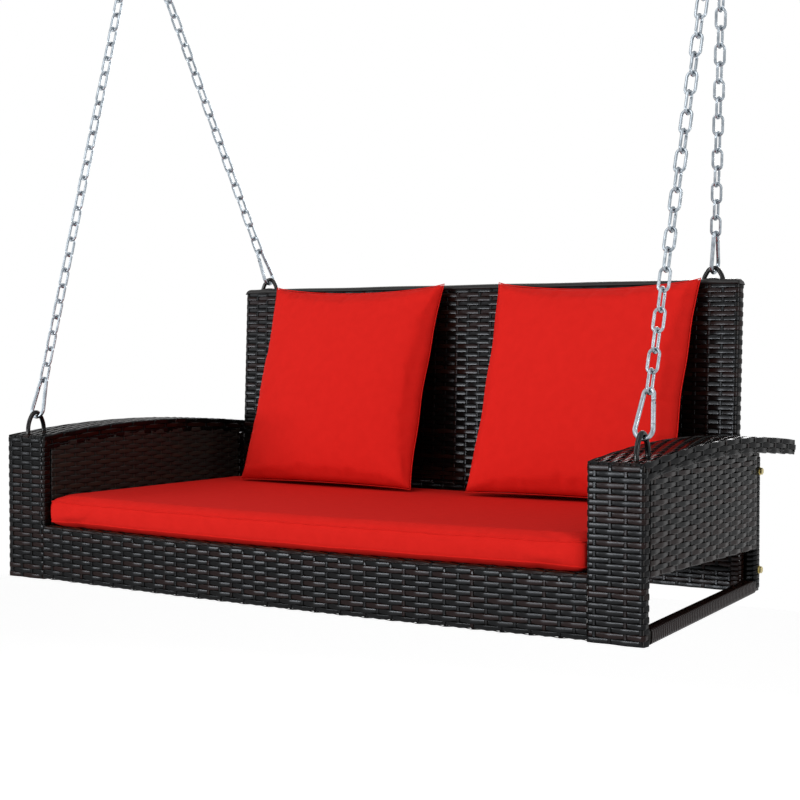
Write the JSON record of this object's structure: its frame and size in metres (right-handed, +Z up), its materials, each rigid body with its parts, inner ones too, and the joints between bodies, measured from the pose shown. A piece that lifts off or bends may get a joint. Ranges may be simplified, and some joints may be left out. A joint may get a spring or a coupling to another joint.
{
  "type": "porch swing seat",
  "caption": "Hanging garden swing bench of woven strip over steel tube, with chains, snap hooks, a seat cushion and back pillows.",
  "frame": {"origin": "middle of the swing axis, between the bows of the two top hooks", "axes": "+Z up, +X along the swing axis towards the right arm as seen from the front, +Y to the rear"},
  "size_m": [1.27, 0.61, 1.3469],
  "materials": {
    "frame_steel": "black powder coat",
    "black_steel": "gloss black powder coat",
    "woven_strip": "extruded strip, brown-black, slightly glossy",
    "zinc": "bright zinc plate",
    "yellow_zinc": "yellow zinc plate",
    "black_plastic": "moulded black",
    "red_cloth": "plain woven polyester, red"
  },
  "bodies": {
    "hangers": {"top_hook_left": "zinc", "top_hook_right": "zinc", "top_hook_pins": "zinc"},
    "seat": {"arm_frame_left": "frame_steel", "leg_weave_left": "woven_strip", "armrest_weave_left": "woven_strip", "outer_weave_left": "woven_strip", "inner_weave_left": "woven_strip", "wound_strip_left": "woven_strip", "front_loop_left": "black_steel", "rear_loop_left": "black_steel", "front_hook_left": "zinc", "front_chain_left": "zinc", "rear_hook_left": "zinc", "rear_chain_left": "zinc", "arm_frame_right": "frame_steel", "leg_weave_right": "woven_strip", "armrest_weave_right": "woven_strip", "outer_weave_right": "woven_strip", "inner_weave_right": "woven_strip", "wound_strip_right": "woven_strip", "front_loop_right": "black_steel", "rear_loop_right": "black_steel", "front_hook_right": "zinc", "front_chain_right": "zinc", "rear_hook_right": "zinc", "rear_chain_right": "zinc", "seat_frame": "frame_steel", "apron_frame": "frame_steel", "backrest_frame": "frame_steel", "apron_weave": "woven_strip", "seat_deck_weave": "woven_strip", "backrest_weave": "woven_strip", "backrest_binding": "woven_strip", "lower_hook_pins": "zinc", "rear_bolts": "yellow_zinc", "rear_washers": "yellow_zinc", "rear_nuts": "yellow_zinc", "seat_bolts": "yellow_zinc", "seat_nuts": "yellow_zinc", "back_bolts": "yellow_zinc", "rear_spacers": "black_plastic"},
    "front_hook_gate_left": {"front_hook_gate_left": "zinc"},
    "rear_hook_gate_left": {"rear_hook_gate_left": "zinc"},
    "top_hook_gate_left": {"top_hook_gate_left": "zinc"},
    "front_hook_gate_right": {"front_hook_gate_right": "zinc"},
    "rear_hook_gate_right": {"rear_hook_gate_right": "zinc"},
    "top_hook_gate_right": {"top_hook_gate_right": "zinc"},
    "seat_cushion": {"seat_cushion": "red_cloth"},
    "pillow_left": {"pillow_left": "red_cloth"},
    "pillow_right": {"pillow_right": "red_cloth"}
  },
  "joints": [
    {"name": "swing", "type": "hinge", "parent": "hangers", "child": "seat", "pos_m": [0, 0, 0], "axis": [1, 0, 0], "range_deg": [-25, 25]},
    {"name": "front_hook_gate_left_turn", "type": "hinge", "parent": "seat", "child": "front_hook_gate_left", "pos_m": [-0.61837, -0.26965, -0.92398], "axis": [0, -0.96, 0.2801], "range_deg": [0, 25], "stiffness_Nm_per_rad": 0.06, "springref_deg": -28.65},
    {"name": "rear_hook_gate_left_turn", "type": "hinge", "parent": "seat", "child": "rear_hook_gate_left", "pos_m": [-0.4988, 0.23661, -0.66912], "axis": [0.986, 0, 0.1667], "range_deg": [0, 25], "stiffness_Nm_per_rad": 0.06, "springref_deg": -28.65},
    {"name": "top_hook_gate_left_turn", "type": "hinge", "parent": "hangers", "child": "top_hook_gate_left", "pos_m": [-0.62396, 0, 0.05454], "axis": [0, -1, 0], "range_deg": [0, 25], "stiffness_Nm_per_rad": 0.06, "springref_deg": -28.65},
    {"name": "front_hook_gate_right_turn", "type": "hinge", "parent": "seat", "child": "front_hook_gate_right", "pos_m": [0.61837, -0.26965, -0.92398], "axis": [0, 0.96, -0.2801], "range_deg": [0, 25], "stiffness_Nm_per_rad": 0.06, "springref_deg": -28.65},
    {"name": "rear_hook_gate_right_turn", "type": "hinge", "parent": "seat", "child": "rear_hook_gate_right", "pos_m": [0.49982, 0.25344, -0.6631], "axis": [-0.986, 0, 0.1667], "range_deg": [0, 25], "stiffness_Nm_per_rad": 0.06, "springref_deg": -28.65},
    {"name": "top_hook_gate_right_turn", "type": "hinge", "parent": "hangers", "child": "top_hook_gate_right", "pos_m": [0.62396, 0, 0.05454], "axis": [0, 1, 0], "range_deg": [0, 25], "stiffness_Nm_per_rad": 0.06, "springref_deg": -28.65},
    {"name": "cushion_lift", "type": "slide", "parent": "seat", "child": "seat_cushion", "axis": [0, 0, 1], "range_m": [0, 0.2]},
    {"name": "pillow_left_lift", "type": "slide", "parent": "seat_cushion", "child": "pillow_left", "axis": [0, 0, 1], "range_m": [0, 0.25]},
    {"name": "pillow_right_lift", "type": "slide", "parent": "seat_cushion", "child": "pillow_right", "axis": [0, 0, 1], "range_m": [0, 0.25]}
  ]
}
